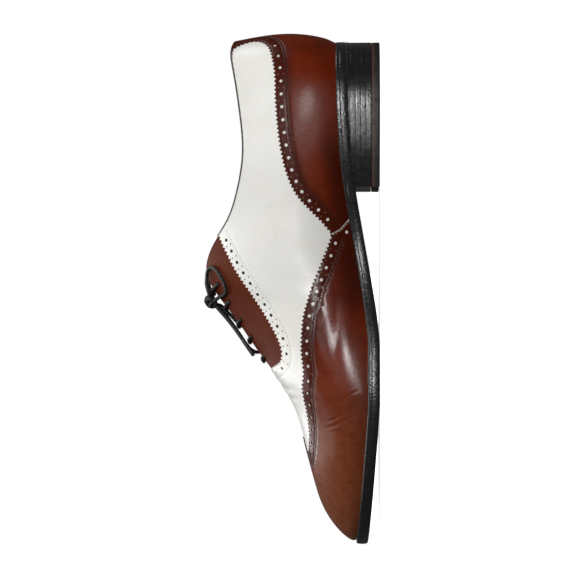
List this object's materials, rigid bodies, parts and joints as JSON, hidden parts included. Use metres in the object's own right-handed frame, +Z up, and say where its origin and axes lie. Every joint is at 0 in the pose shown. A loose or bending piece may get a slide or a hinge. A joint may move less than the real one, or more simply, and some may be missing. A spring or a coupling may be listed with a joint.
{
  "type": "wingtip oxford",
  "caption": "Two-tone full-brogue wingtip oxford shoe with stacked heel, welted sole and tied round lace, hollow inside and open at the collar.",
  "frame": {"origin": "on the floor under the middle of the shoe's box", "axes": "+Y from heel to toe, +X to the wearer's right, which is the shoe's outer side, +Z up"},
  "size_m": [0.1025, 0.306, 0.1055],
  "materials": {
    "upper": "smooth white calf with polished brown wing, counter and facings",
    "tongue": "smooth brown calf",
    "outsole": "black dressed edge, dark brown worn underside",
    "welt": "black dressed, stitched",
    "heel_stack": "stacked lifts, black waxed",
    "heel_top_lift": "matte black",
    "insole": "plain tan, matte",
    "lace": "round waxed cotton, near black"
  },
  "bodies": {
    "root": {"outsole": "outsole", "welt": "welt", "heel_stack": "heel_stack", "heel_top_lift": "heel_top_lift", "insole": "insole", "upper": "upper", "tongue": "tongue", "lace_bar_1": "lace", "lace_bar_2": "lace", "lace_bar_3": "lace", "lace_bar_4": "lace", "lace_bar_5": "lace", "lace_knot": "lace", "lace_loop_inner": "lace", "lace_loop_front": "lace", "lace_end_front": "lace", "lace_end_outer": "lace"}
  },
  "joints": []
}
